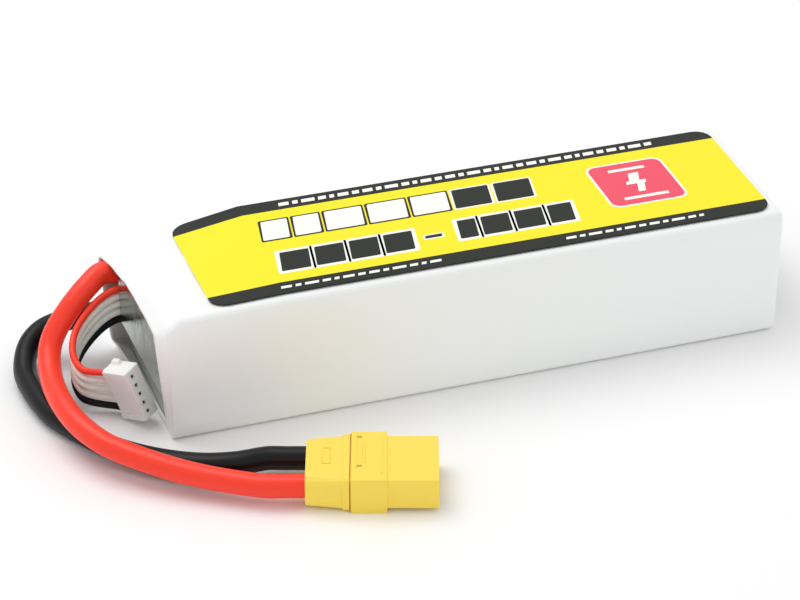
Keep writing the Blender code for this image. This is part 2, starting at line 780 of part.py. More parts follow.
def make_plug_housing(parent):
    """Moulded collar and nose, bored for the two contacts; the far side of the nose is chamfered."""
    half = COLLAR_WIDTH / 2
    low = (COLLAR_X, -half, 0.0)
    high = (NOSE_X, half, COLLAR_HEIGHT)
    housing = solid("plug_housing", box(low, high), "yellow_nylon", parent)
    middle = PLUG_AXIS_Z + NOSE_LIFT
    side = NOSE_WIDTH / 2
    foot = middle - NOSE_HEIGHT / 2
    head = middle + NOSE_HEIGHT / 2
    outline = (
        (-side, foot),
        (side - NOSE_CHAMFER, foot),
        (side, foot + NOSE_CHAMFER),
        (side, head - NOSE_CHAMFER),
        (side - NOSE_CHAMFER, head),
        (-side, head),
    )
    inside = NOSE_X - COLLAR_LENGTH / 2
    nose_loops = [[(x, y, z) for y, z in outline] for x in (inside, FACE_X)]
    joined(housing, solid("nose_form", loft(nose_loops), None, parent))
    bevelled(housing, HOUSING_EDGE, 1)
    bore = CONTACT_BORE / 2 + CONTACT_WALL + BORE_CLEARANCE
    for way in (-1, 1):
        profile = ((COLLAR_X - 1, bore), (FACE_X + 1, bore))
        cutter = solid(f"housing_bore_{way}", turned(lead_y(way), PLUG_AXIS_Z, profile), None, parent)
        cut(housing, cutter)


def make_contacts(parent):
    """Gold contacts: an open socket at the mating face and a solder cup inside the cap."""
    socket = CONTACT_BORE / 2
    outer = CONTACT_RADIUS
    face = FACE_X - CONTACT_RECESS
    profile = (
        (face - SOCKET_DEPTH, socket),
        (face, socket),
        (face, outer),
        (CUP_X, outer),
        (CUP_X, CUP_BORE / 2),
        (CUP_X + CUP_DEPTH, CUP_BORE / 2),
    )
    for name, way in (("contact_plus", -1), ("contact_minus", 1)):
        bm = turned(lead_y(way), PLUG_AXIS_Z, profile)
        solid(name, bm, "gold", parent, smooth_angle=40)


def make_joint_sleeves(parent):
    """Shrink tubes over the solder joints."""
    ends = (CAP_TAIL_WALL + 2 * FIT_GAP, COLLAR_X - FIT_GAP)
    for name, way in (("joint_sleeve_plus", -1), ("joint_sleeve_minus", 1)):
        loops = []
        for x, radius in (
            (ends[0], JOINT_SLEEVE_INNER),
            (ends[0], JOINT_SLEEVE_OUTER),
            (ends[1], JOINT_SLEEVE_OUTER),
            (ends[1], JOINT_SLEEVE_INNER),
        ):
            loops.append(circle(x, lead_y(way), PLUG_AXIS_Z, radius))
        solid(name, loft(loops, wrap=True), "shrink_tube", parent, smooth_angle=40)


def make_plug_cap(parent):
    """Tail cap: tapered shell with two lead holes, a snap ridge and a hollow for the joints."""
    front = COLLAR_X - FIT_GAP
    ridge = front - SNAP_LENGTH
    grow = 2 * SNAP_RIDGE
    steps = (
        (0.0, CAP_TAIL_WIDTH, CAP_TAIL_HEIGHT),
        (ridge - SNAP_RIDGE, CAP_FRONT_WIDTH - grow, CAP_FRONT_HEIGHT - grow),
        (ridge, CAP_FRONT_WIDTH, CAP_FRONT_HEIGHT),
        (front, CAP_FRONT_WIDTH, CAP_FRONT_HEIGHT),
    )
    loops = []
    for x, width, height in steps:
        side = width / 2
        low = PLUG_AXIS_Z - height / 2
        high = PLUG_AXIS_Z + height / 2
        round_off = 0.8 * height / 2 - (x / front) * height / 4
        loops.append(rounded_section(x, -side, side, low, high, high, round_off))
    cap = solid("plug_cap", loft(loops), "yellow_nylon", parent, smooth_angle=40)
    reach = LEAD_SPACING / 2 + CAVITY_RADIUS
    low = PLUG_AXIS_Z - CAVITY_RADIUS
    high = PLUG_AXIS_Z + CAVITY_RADIUS
    cavity = []
    for x in (CAP_TAIL_WALL, front + 1):
        cavity.append(rounded_section(x, -reach, reach, low, high, high, CAVITY_RADIUS * 0.99))
    cut(cap, solid("cap_cavity", loft(cavity), None, parent))
    hole = LEAD_DIAMETER / 2 + BORE_CLEARANCE
    for way in (-1, 1):
        profile = ((-1, hole), (CAP_TAIL_WALL + 1, hole))
        cutter = solid(f"cap_hole_{way}", turned(lead_y(way), PLUG_AXIS_Z, profile), None, parent)
        cut(cap, cutter)


def square_bar(start, end, z, width):
    """A square bar in line with one way of the balance plug."""
    half = width / 2
    return box((start, WAY_OFFSET - half, z - half), (end, WAY_OFFSET + half, z + half))


def make_balance_plug(parent):
    """Five-way housing: a way for each wire, a pin hole in front of it, a key at each end, terminals."""
    side = BALANCE_THICKNESS / 2
    reach = BALANCE_HEIGHT / 2
    low = (-BALANCE_DEPTH, -side, -reach)
    high = (0.0, side, reach)
    housing = solid("balance_plug", box(low, high), "white_nylon", parent)
    key_start = KEY_START - BALANCE_DEPTH
    key_low = (key_start, KEY_OFFSET - KEY_WIDTH / 2, -reach - KEY_HEIGHT)
    key_high = (key_start + KEY_LENGTH, KEY_OFFSET + KEY_WIDTH / 2, reach + KEY_HEIGHT)
    joined(housing, solid("balance_keys", box(key_low, key_high), None, parent))
    bevelled(housing, BALANCE_EDGE, 1)
    for index in range(WIRE_COUNT):
        z = ((WIRE_COUNT - 1) / 2 - index) * BALANCE_PITCH
        way = square_bar(-BALANCE_DEPTH - 1, -FRONT_WALL, z, WAY_WIDTH)
        cut(housing, solid(f"way_{index + 1}", way, None, parent))
        pin_hole = square_bar(-BALANCE_DEPTH / 2, 1, z, PIN_HOLE_WIDTH)
        cut(housing, solid(f"pin_hole_{index + 1}", pin_hole, None, parent))
        terminal = square_bar(WIRE_END_X + FIT_GAP, TERMINAL_END_X, z, TERMINAL_WIDTH)
        solid(f"balance_terminal_{index + 1}", terminal, "gold", parent)


def main():
    """Builds the battery pack from the inside out."""
    clear_scene()
    make_cells()
    make_cell_pads()
    make_stack_tapes()
    make_rear_foam()
    make_tab_links()
    make_main_tabs()
    make_lead_end_plates()
    make_end_foil()
    make_shrink_sleeve()
    make_label()
    power_matrix = power_plug_matrix()
    balance_matrix = balance_plug_matrix()
    power_place = placing_empty("power_plug_place", metres(power_matrix))
    balance_place = placing_empty("balance_plug_place", metres(balance_matrix))
    make_power_leads(power_matrix)
    make_balance_wires(balance_matrix)
    make_plug_housing(power_place)
    make_contacts(power_place)
    make_joint_sleeves(power_place)
    make_plug_cap(power_place)
    make_balance_plug(balance_place)


main()
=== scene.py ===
"""Wrapped lithium polymer battery pack with its leads and plugs, dressed round its frame."""

import json
import logging
import math
from dataclasses import dataclass, field
from enum import Enum

import bpy
from mathutils import Matrix, Vector

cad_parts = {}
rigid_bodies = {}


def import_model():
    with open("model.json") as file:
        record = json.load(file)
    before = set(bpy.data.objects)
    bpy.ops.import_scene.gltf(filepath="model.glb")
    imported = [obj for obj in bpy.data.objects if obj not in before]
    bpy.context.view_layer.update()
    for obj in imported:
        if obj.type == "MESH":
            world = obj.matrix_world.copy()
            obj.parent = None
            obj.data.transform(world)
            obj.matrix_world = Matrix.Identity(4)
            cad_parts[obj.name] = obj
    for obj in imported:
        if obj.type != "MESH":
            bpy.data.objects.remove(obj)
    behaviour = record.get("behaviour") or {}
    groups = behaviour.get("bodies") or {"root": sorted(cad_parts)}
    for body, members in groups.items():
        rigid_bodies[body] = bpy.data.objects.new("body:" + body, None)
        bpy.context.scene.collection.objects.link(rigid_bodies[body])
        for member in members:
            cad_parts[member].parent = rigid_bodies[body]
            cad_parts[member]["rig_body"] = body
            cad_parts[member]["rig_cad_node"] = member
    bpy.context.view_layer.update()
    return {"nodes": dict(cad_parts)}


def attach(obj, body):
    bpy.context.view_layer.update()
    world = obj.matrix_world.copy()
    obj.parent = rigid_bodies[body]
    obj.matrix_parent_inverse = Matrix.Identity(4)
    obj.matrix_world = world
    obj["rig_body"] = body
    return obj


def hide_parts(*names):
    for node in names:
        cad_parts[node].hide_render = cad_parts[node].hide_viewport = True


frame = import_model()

LOG = logging.getLogger("battery_pack")
MM = 0.001
MERGE_DISTANCE = 0.01 * MM
SMOOTH_ANGLE_DEG = 40
CREASE_X = -74.3
PLUG_TAIL = (-49.9, -50.3)
PLUG_TURN_DEG = -18.2


class Body(Enum):
    """Rigid bodies of the pack."""

    PACK = "pack"
    CAP = "cap"


# --- small helpers -------------------------------------------------------------


def linear(code: str) -> tuple[float, float, float, float]:
    """Turns an sRGB hex colour into linear light.

    Args:
        code: Six hex digits, red first.

    Returns:
        Red, green, blue and an alpha of one.
    """
    parts = []
    for start in (0, 2, 4):
        value = int(code[start : start + 2], 16) / 255
        parts.append(value / 12.92 if value <= 0.04045 else ((value + 0.055) / 1.055) ** 2.4)
    return (parts[0], parts[1], parts[2], 1.0)


def deselect() -> None:
    """Leaves nothing selected, so that an operator acts only on what follows."""
    if bpy.context.object is not None and bpy.context.object.mode != "OBJECT":
        bpy.ops.object.mode_set(mode="OBJECT")
    bpy.ops.object.select_all(action="DESELECT")


def make_active(piece: bpy.types.Object) -> None:
    """Selects one piece alone and makes it the active one.

    Args:
        piece: The piece that the next operator works on.
    """
    deselect()
    piece.select_set(True)
    bpy.context.view_layer.objects.active = piece


def settle(piece: bpy.types.Object, place: Matrix | None = None) -> None:
    """Puts a piece at its place and bakes that place into its mesh.

    Args:
        piece: The new piece, still in its own sub-assembly's axes.
        place: Where that sub-assembly sits, or None if it is already in place.
    """
    make_active(piece)
    if place is not None:
        piece.matrix_world = place @ piece.matrix_world
    bpy.ops.object.transform_apply(location=True, rotation=True, scale=True)


def apply_modifier(piece: bpy.types.Object, kind: str, **settings: object) -> None:
    """Adds a modifier with its settings and applies it.

    Args:
        piece: The piece that it shapes.
        kind: Blender's name for the modifier's type.
        **settings: Its properties.
    """
    make_active(piece)
    modifier = piece.modifiers.new(kind.lower(), kind)
    for key, value in settings.items():
        setattr(modifier, key, value)
    bpy.ops.object.modifier_apply(modifier=modifier.name)


def in_metres(place: Matrix) -> Matrix:
    """Turns a place in millimetres into one in metres.

    Args:
        place: A turn and a shift, the shift in millimetres.

    Returns:
        The same turn with the shift in metres.
    """
    return Matrix.Translation(place.translation * MM) @ place.to_3x3().to_4x4()


def block(
    name: str,
    low: tuple[float, float, float],
    high: tuple[float, float, float],
    edge: float = 0.0,
) -> bpy.types.Object:
    """A block between two corners, with its edges broken.

    Args:
        name: The piece's name.
        low: Lowest corner, in millimetres.
        high: Highest corner, in millimetres.
        edge: Bevel width, in millimetres.

    Returns:
        The new piece, its place in its mesh.
    """
    deselect()
    centre = [(a + b) / 2 * MM for a, b in zip(low, high)]
    size = [(b - a) * MM for a, b in zip(low, high)]
    bpy.ops.mesh.primitive_cube_add(size=1, location=centre, scale=size)
    piece = bpy.context.object
    piece.name = name
    settle(piece)
    if edge > 0:
        apply_modifier(piece, "BEVEL", width=edge * MM, segments=2, limit_method="ANGLE")
    return piece


def copied_node(node: str, name: str) -> bpy.types.Object:
    """A free copy of a frame node, its loose triangles merged.

    Args:
        node: The frame node's name.
        name: The copy's name.

    Returns:
        The copy, which rides on nothing yet.
    """
    source = frame["nodes"][node]
    piece = source.copy()
    piece.data = source.data.copy()
    piece.parent = None
    piece.name = name
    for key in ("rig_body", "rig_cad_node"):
        if key in piece:
            del piece[key]
    bpy.context.scene.collection.objects.link(piece)
    make_active(piece)
    bpy.ops.object.mode_set(mode="EDIT")
    bpy.ops.mesh.select_all(action="SELECT")
    bpy.ops.mesh.remove_doubles(threshold=MERGE_DISTANCE)
    bpy.ops.object.mode_set(mode="OBJECT")
    return piece


def dress(
    piece: bpy.types.Object,
    material: bpy.types.Material,
    body: Body = Body.PACK,
) -> bpy.types.Object:
    """Gives a piece its material and its material slot, and lets it ride on its body.

    Args:
        piece: The finished piece.
        material: Its surface.
        body: The rigid body that it moves with.

    Returns:
        The same piece.
    """
    piece.data.materials.clear()
    piece.data.materials.append(material)
    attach(piece, body.value)
    LOG.info("%s rides on %s", piece.name, body.value)
    return piece


# --- finishes ------------------------------------------------------------------


def add_node(
    tree: bpy.types.NodeTree,
    kind: str,
    inputs: dict[str | int, object] | None = None,
    **settings: object,
) -> bpy.types.Node:
    """Adds a shader node with its settings, values and links.

    Args:
        tree: The material's node tree.
        kind: The node's type.
        inputs: Socket name or number to a value, or to the socket that feeds it.
        **settings: The node's own properties.

    Returns:
        The new node.
    """
    node = tree.nodes.new(kind)
    for key, value in settings.items():
        setattr(node, key, value)
    for key, value in (inputs or {}).items():
        if isinstance(value, bpy.types.NodeSocket):
            tree.links.new(value, node.inputs[key])
        else:
            node.inputs[key].default_value = value
    return node


@dataclass(frozen=True)
class Finish:
    """A surface with one colour and a fine relief."""

    name: str
    colour: str
    roughness: float
    metallic: float = 0.0
    ior: float = 1.5
    coat: float = 0.0
    glow_depth: float = 0.0
    grain: float = 0.6
    relief: float = 0.02
    stretch: tuple[float, float, float] = (1.0, 1.0, 1.0)

    def tint(self, tree: bpy.types.NodeTree, place: bpy.types.NodeSocket) -> object:
        """Colour of the surface, the same everywhere here."""
        return linear(self.colour)

    def material(self) -> bpy.types.Material:
        """Builds the material.

        Returns:
            A Principled surface whose relief follows the piece's own coordinates.
        """
        found = bpy.data.materials.get(self.name)
        if found is not None:
            return found
        made = bpy.data.materials.new(self.name)
        made.use_nodes = True
        tree = made.node_tree
        tree.nodes.clear()
        place = add_node(tree, "ShaderNodeTexCoord").outputs["Object"]
        scaled = add_node(tree, "ShaderNodeMapping", {"Vector": place, "Scale": self.stretch})
        grain = add_node(
            tree,
            "ShaderNodeTexNoise",
            {"Vector": scaled.outputs["Vector"], "Scale": 1 / (self.grain * MM), "Detail": 3.0},
        )
        bump = add_node(
            tree,
            "ShaderNodeBump",
            {"Height": grain.outputs["Fac"], "Strength": 1.0, "Distance": self.relief * MM},
        )
        surface = add_node(
            tree,
            "ShaderNodeBsdfPrincipled",
            {
                "Base Color": self.tint(tree, place),
                "Roughness": self.roughness,
                "Metallic": self.metallic,
                "IOR": self.ior,
                "Coat Weight": self.coat,
                "Coat Roughness": 0.12,
                "Subsurface Weight": 0.25 if self.glow_depth else 0.0,
                "Subsurface Scale": self.glow_depth * MM,
                "Normal": bump.outputs["Normal"],
            },
        )
        add_node(tree, "ShaderNodeOutputMaterial", {"Surface": surface.outputs["BSDF"]})
        return made


@dataclass(frozen=True)
class BandedFilm(Finish):
    """Printed film with a dark band along each long edge."""

    band_colour: str = "20241D"
    band_start: float = 16.1

    def tint(self, tree: bpy.types.NodeTree, place: bpy.types.NodeSocket) -> object:
        """Colour by the distance from the pack's centre line.

        Args:
            tree: The material's node tree.
            place: The piece's own coordinates, in metres.

        Returns:
            The socket that carries the printed colour.
        """
        across = add_node(tree, "ShaderNodeSeparateXYZ", {"Vector": place}).outputs["Y"]
        distance = add_node(tree, "ShaderNodeMath", {0: across}, operation="ABSOLUTE").outputs[0]
        in_band = add_node(
            tree,
            "ShaderNodeMath",
            {0: distance, 1: self.band_start * MM},
            operation="GREATER_THAN",
        ).outputs[0]
        mix = add_node(tree, "ShaderNodeMix", {"Factor": in_band}, data_type="RGBA")
        mix.inputs[6].default_value = linear(self.colour)
        mix.inputs[7].default_value = linear(self.band_colour)
        return mix.outputs[2]


# Heat-shrunk PVC film, calendered: a soft gloss with long shallow ripples.
SHRINK_FILM = Finish("pvc_shrink_film_calendered", "F6F8F7", 0.3, ior=1.53, grain=7.0, relief=0.1)
# Printed polypropylene label under a clear laminate: even colour and a clean gloss.
LABEL_FILM = BandedFilm(
    "laminated_label_film_printed", "FFEC22", 0.32, ior=1.3, grain=1.2, relief=0.004
)
WHITE_INK = Finish("white_ink_laminated", "FBFBF4", 0.32, relief=0.004)
DARK_INK = Finish("charcoal_ink_laminated", "20241D", 0.32, ior=1.3, relief=0.004)
RED_INK = Finish("red_ink_laminated", "F2556C", 0.32, ior=1.3, relief=0.004)
# Extruded silicone rubber: deep colour, satin skin with a faint drag along the lead.
RED_SILICONE = Finish(
    "silicone_rubber_red_extruded", "FF3E26", 0.33, ior=1.43, glow_depth=0.6, relief=0.01
)
BLACK_SILICONE = Finish("silicone_rubber_black_extruded", "0C0D0E", 0.38, ior=1.33, relief=0.01)
WHITE_SILICONE = Finish(
    "silicone_rubber_white_extruded", "F4F3EC", 0.38, ior=1.43, glow_depth=0.5, relief=0.01
)
# Injection-moulded nylon: light passes a little way in and softens the edges.
YELLOW_NYLON = Finish(
    "nylon_yellow_moulded", "FFDE54", 0.4, glow_depth=0.5, grain=0.5, relief=0.012
)
# Darker yellow for the collar's notches, its dot and the gap behind it: painted shade.
SHADED_NYLON = Finish(
    "nylon_yellow_painted_shade", "D89A30", 0.5, glow_depth=0.5, grain=0.5, relief=0.012
)
WHITE_NYLON = Finish(
    "nylon_white_moulded", "F7F7F4", 0.38, glow_depth=0.7, grain=0.5, relief=0.008
)
# Dark grey blocks inside the balance plug's pin holes: painted shade.
PAINTED_HOLE_SHADE = Finish("nylon_shaded_hole", "3A403E", 0.6, grain=0.5)
# Rolled aluminium foil tape: mirror gloss crossed by fine upright rolling lines.
FOIL_TAPE = Finish(
    "aluminium_foil_tape_rolled",
    "B9C4BE",
    0.13,
    1.0,
    grain=0.8,
    relief=0.4,
    stretch=(1.0, 1.0, 0.03),
)
# Plated brass and strip: bright with light tool marks.
GOLD_PLATE = Finish("brass_gold_plated", "E9BD62", 0.22, 1.0, grain=0.3, relief=0.006)
TAB_METAL = Finish("nickel_strip_rolled", "C9C7C0", 0.3, 1.0, grain=0.4, relief=0.01)
CELL_POUCH = Finish(
    "aluminium_laminate_pouch_pressed", "C9CBCE", 0.34, 0.9, grain=3.0, relief=0.05
)
PAD_FOAM = Finish("polyethylene_foam_cut", "26272A", 0.9, grain=0.7, relief=0.12)
FIBRE_TAPE = Finish("glass_fibre_tape_woven", "D8C070", 0.5, grain=0.5, relief=0.04)
FIBRE_CARD = Finish("vulcanised_fibre_card_pressed", "8A7450", 0.8, grain=0.5, relief=0.03)
CIRCUIT_BOARD = Finish("glass_epoxy_board_masked", "1B5E38", 0.35, coat=0.3, relief=0.01)
SHRINK_TUBE = Finish("polyolefin_tube_shrunk", "1A1A1A", 0.5, grain=1.0, relief=0.02)

# A node takes the finish of the first start that its name has.
NODE_FINISHES: dict[str, Finish] = {
    "label": LABEL_FILM,
    "rear_foam": PAD_FOAM,
    "end_foil": FOIL_TAPE,
    "tab_card": FIBRE_CARD,
    "balance_board": CIRCUIT_BOARD,
    "main_tab_": TAB_METAL,
    "tab_link_": TAB_METAL,
    "stack_tape_": FIBRE_TAPE,
    "cell_pad_": PAD_FOAM,
    "cell_": CELL_POUCH,
    "plug_": YELLOW_NYLON,
    "contact_": GOLD_PLATE,
    "joint_sleeve_": SHRINK_TUBE,
    "balance_plug": WHITE_NYLON,
    "balance_terminal_": GOLD_PLATE,
}


def dress_frame_nodes() -> None:
    """Gives each frame node that stays in sight its real surface."""
    for name, node in frame["nodes"].items():
        for start, finish in NODE_FINISHES.items():
            if name.startswith(start):
                for index in range(len(node.data.materials)):
                    node.data.materials[index] = finish.material()
                LOG.info("%s: %s", name, finish.name)
                break


# --- shrink sleeve -------------------------------------------------------------


@dataclass(frozen=True)
class Pull:
    """A ridge or a furrow that tension has drawn in the film, in millimetres."""

    start: tuple[float, float, float]
    end: tuple[float, float, float]
    height: float
    width: float


@dataclass
class ShrinkSleeve:
    """White film that wraps the cells, drawn in and rippled at the lead end."""

    soft_from: float = -44.0
    cuts: int = 7
    half_width: float = 22.8
    middle: float = 17.0
    half_height: float = 17.0
    fade_power: float = 0.7
    corner_power: int = 5
    pulls: tuple[Pull, ...] = (
        Pull((-73.0, -20.5, 29.0), (-56.0, -22.8, 21.0), 0.35, 2.0),
        Pull((-73.5, -21.0, 26.0), (-60.0, -22.8, 9.0), 0.3, 2.2),
        Pull((-74.0, -21.5, 16.0), (-64.0, -22.8, 3.0), -0.3, 2.4),
        Pull((-74.0, -19.0, 30.0), (-52.0, -9.0, 34.0), 0.35, 2.0),
        Pull((-77.0, -6.0, 28.5), (-50.0, -1.0, 34.0), -0.3, 2.6),
        Pull((-77.5, 5.0, 28.0), (-52.0, 7.0, 33.8), 0.35, 2.2),
        Pull((-79.0, 15.0, 27.5), (-55.0, 17.0, 33.0), 0.35, 2.0),
        Pull((-79.5, 20.5, 24.0), (-58.0, 22.8, 16.0), 0.35, 2.2),
        Pull((-79.0, 21.5, 14.0), (-62.0, 22.8, 7.0), -0.3, 2.4),
    )

    def push(self, point: Vector) -> float:
        """How far the film stands out at a point.

        Args:
            point: A place on the film, in millimetres.

        Returns:
            The height of the pulls there, in millimetres.
        """
        total = 0.0
        for pull in self.pulls:
            start, end = Vector(pull.start), Vector(pull.end)
            along = end - start
            share = max(0.0, min(1.0, (point - start).dot(along) / along.length_squared))
            away = (point - start - along * share).length
            across = math.exp(-((away / pull.width) ** 2))
            total += pull.height * across * (1 - share) ** self.fade_power
        return total

    def build(self) -> None:
        """Makes the rippled film from the frame's sleeve."""
        piece = copied_node("shrink_sleeve", "film_sleeve")
        mesh = piece.data
        for face in mesh.polygons:
            face.select = face.center.x < self.soft_from * MM
        for edge in mesh.edges:
            edge.select = all(mesh.vertices[i].co.x < self.soft_from * MM for i in edge.vertices)
        bpy.ops.object.mode_set(mode="EDIT")
        bpy.ops.mesh.select_mode(type="EDGE")
        bpy.ops.mesh.subdivide(number_cuts=self.cuts)
        bpy.ops.object.mode_set(mode="OBJECT")
        for vertex in mesh.vertices:
            point = vertex.co / MM
            if point.x > self.soft_from:
                continue
            out = Vector(
                (
                    0.0,
                    (point.y / self.half_width) ** self.corner_power,
                    ((point.z - self.middle) / self.half_height) ** self.corner_power,
                )
            )
            if out.length > 0:
                vertex.co += out.normalized() * self.push(point) * MM
        bpy.ops.object.shade_smooth_by_angle(angle=math.radians(SMOOTH_ANGLE_DEG))
        dress(piece, SHRINK_FILM.material())
        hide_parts("shrink_sleeve")


# --- label print ---------------------------------------------------------------


@dataclass
class LabelPrint:
    """Plain marks on the label: bars, blocks, dashes and a badge with a spark."""

    surface: float = 34.6
    ink: float = 0.03
    slant: float = 1.6
    lift: float = 0.005
    corner_steps: int = 6
    rim_corner: float = 0.5
    block_corner: float = 0.4
    dash_lengths: tuple[float, ...] = (2.6, 1.4, 3.4, 2.0, 1.2, 2.8, 1.8)
    dash_gap: float = 0.9
    dash_slant: float = 0.3

    def patch(
        self,
        name: str,
        low: tuple[float, float],
        high: tuple[float, float],
        finish: Finish,
        layer: int,
        slant: float = 0.0,
        corner: float = 0.0,
    ) -> bpy.types.Object:
        """A printed patch, straight or leaning.

        Args:
            name: The piece's name.
            low: Corner nearest the lead end and the near side, in millimetres.
            high: The opposite corner.
            finish: Its ink.
            layer: One for the ink on the film, two for ink over that.
            slant: How far the far edge leans to the rear.
            corner: Radius of its corners.

        Returns:
            The patch.
        """
        base = self.surface + self.ink * (layer - 1) + self.lift
        piece = block(name, (*low, base), (*high, base + self.ink))
        if corner > 0:
            make_active(piece)
            for edge in piece.data.edges:
                ends = [piece.data.vertices[i].co for i in edge.vertices]
                edge.select = abs(ends[0].z - ends[1].z) > 0.5 * self.ink * MM
            for face in piece.data.polygons:
                face.select = False
            bpy.ops.object.mode_set(mode="EDIT")
            bpy.ops.mesh.select_mode(type="EDGE")
            bpy.ops.mesh.bevel(offset=corner * MM, segments=self.corner_steps, affect="EDGES")
            bpy.ops.object.mode_set(mode="OBJECT")
        if slant:
            for vertex in piece.data.vertices:
                share = (vertex.co.y / MM - low[1]) / (high[1] - low[1])
                vertex.co.x += slant * share * MM
        return dress(piece, finish.material())

    def bar_row(
        self,
        name: str,
        start: float,
        widths: tuple[float, ...],
        near: float,
        far: float,
        inks: tuple[Finish, ...],
        gap: float = 1.5,
        rim: float = 0.55,
    ) -> None:
        """A row of leaning blocks, each on a rim of the other ink.

        Args:
            name: What the row is called.
            start: Where its first block starts along the pack.
            widths: Width of each block.
            near: Near edge of the row.
            far: Far edge of the row.
            inks: Ink of each block; the rim takes the other one.
            gap: Space between blocks.
            rim: Width of the rim.
        """
        x = start
        for index, width in enumerate(widths):
            ink = inks[index]
            other = DARK_INK if ink is WHITE_INK else WHITE_INK
            self.patch(
                f"{name}_rim_{index + 1}",
                (x - rim, near - rim),
                (x + width + rim, far + rim),
                other,
                1,
                self.slant,
                self.rim_corner,
            )
            self.patch(
                f"{name}_block_{index + 1}",
                (x, near),
                (x + width, far),
                ink,
                2,
                self.slant,
                self.block_corner,
            )
            x += width + gap

    def dashes(self, name: str, start: float, end: float, y: float, height: float) -> None:
        """A line of short white dashes of uneven length.

        Args:
            name: What the line is called.
            start: Where it starts along the pack.
            end: Where it ends.
            y: Its middle.
            height: Its height.
        """
        x = start
        index = 0
        while x < end:
            length = self.dash_lengths[index % len(self.dash_lengths)]
            self.patch(
                f"{name}_dash_{index + 1}",
                (x, y - height / 2),
                (x + length, y + height / 2),
                WHITE_INK,
                1,
                self.dash_slant,
            )
            x += length + self.dash_gap
            index += 1

    def spark(self, name: str, centre: tuple[float, float], size: float) -> None:
        """A zigzag spark from two leaning blocks and a bar.

        Args:
            name: What the spark is called.
            centre: Its middle on the label.
            size: Its height.
        """
        cx, cy = centre
        half = size / 2
        for part, (left, near), (right, far), layer, slant in (
            ("upper", (-1.8, -0.6), (0.9, half), 3, 1.6),
            ("bar", (-2.6, -0.7), (2.6, 0.7), 4, 0.4),
            ("lower", (-0.9, -half), (1.0, 0.6), 3, 1.5),
        ):
            low, high = (cx + left, cy + near), (cx + right, cy + far)
            self.patch(f"{name}_{part}", low, high, WHITE_INK, layer, slant)

    def build(self) -> None:
        """Prints all the marks."""
        white, dark = WHITE_INK, DARK_INK
        self.bar_row(
            "upper",
            -44.0,
            (6.6, 6.4, 9.4, 9.6, 9.2, 9.4, 9.4),
            3.0,
            11.6,
            (white, white, white, white, white, dark, dark),
        )
        self.bar_row(
            "lower", -43.6, (7.2, 7.2, 7.2, 7.2), -11.6, -3.4, (dark,) * 4, gap=1.4, rim=1.0
        )
        self.patch("lower_link_rim", (-7.4, -8.6), (-2.2, -6.4), white, 1, 0.4)
        self.patch("lower_link", (-6.9, -8.1), (-2.7, -6.9), dark, 2, 0.3)
        self.bar_row(
            "lower_end", 1.2, (4.6, 7.2, 7.2, 6.2), -10.8, -2.6, (dark,) * 4, gap=1.4, rim=1.0
        )
        self.patch("badge_rim", (41.0, -9.0), (61.4, 11.6), white, 1, 0.0, 2.6)
        self.patch("badge", (41.6, -8.4), (60.8, 11.0), RED_INK, 2, 0.0, 2.2)
        self.spark("badge_spark", (51.0, 1.3), 9.0)
        self.patch("badge_line_top", (46.4, 7.4), (56.0, 8.6), white, 3)
        self.patch("badge_line_foot", (45.4, -6.2), (57.0, -5.0), white, 3)
        self.dashes("far_band", -36.0, 62.0, 18.4, 1.5)
        self.dashes("near_band", -46.0, -9.0, -18.4, 1.0)
        self.dashes("near_band_rear", 25.0, 60.0, -18.4, 1.0)


# --- leads ---------------------------------------------------------------------


def tangents(points: list[Vector]) -> list[Vector]:
    """Direction of a smooth curve at each of its points.

    Args:
        points: The points that the curve passes.

    Returns:
        One direction for each point, per length of curve.
    """
    found = []
    for index, point in enumerate(points):
        before = points[max(index - 1, 0)]
        after = points[min(index + 1, len(points) - 1)]
        found.append((after - before) / ((point - before).length + (after - point).length))
    return found


def flexible_tube(name: str, route: list[Vector], diameter: float, rings: int) -> bpy.types.Object:
    """A smooth round tube through a route.

    Args:
        name: The cord's name.
        route: Points that it passes, in millimetres.
        diameter: Its diameter, in millimetres.
        rings: Bevel resolution of its section.

    Returns:
        A curve with one open spline and filled ends.
    """
    deselect()
    data = bpy.data.curves.new(name, "CURVE")
    data.dimensions = "3D"
    data.resolution_u = 8
    data.bevel_depth = diameter / 2 * MM
    data.bevel_resolution = rings
    data.use_fill_caps = True
    spline = data.splines.new("BEZIER")
    spline.bezier_points.add(len(route) - 1)
    slopes = tangents(route)
    for index, (knot, point) in enumerate(zip(spline.bezier_points, route)):
        before = route[max(index - 1, 0)]
        after = route[min(index + 1, len(route) - 1)]
        knot.handle_left_type = knot.handle_right_type = "FREE"
        knot.co = point * MM
        knot.handle_left = (point - slopes[index] * (point - before).length / 3) * MM
        knot.handle_right = (point + slopes[index] * (after - point).length / 3) * MM
    piece = bpy.data.objects.new(name, data)
    bpy.context.scene.collection.objects.link(piece)
    return piece


def plug_place() -> Matrix:
    """Place of the power plug in millimetres, its own x from its tail to its mating face."""
    return Matrix.Translation((*PLUG_TAIL, 0.0)) @ Matrix.Rotation(
        math.radians(PLUG_TURN_DEG), 4, "Z"
    )


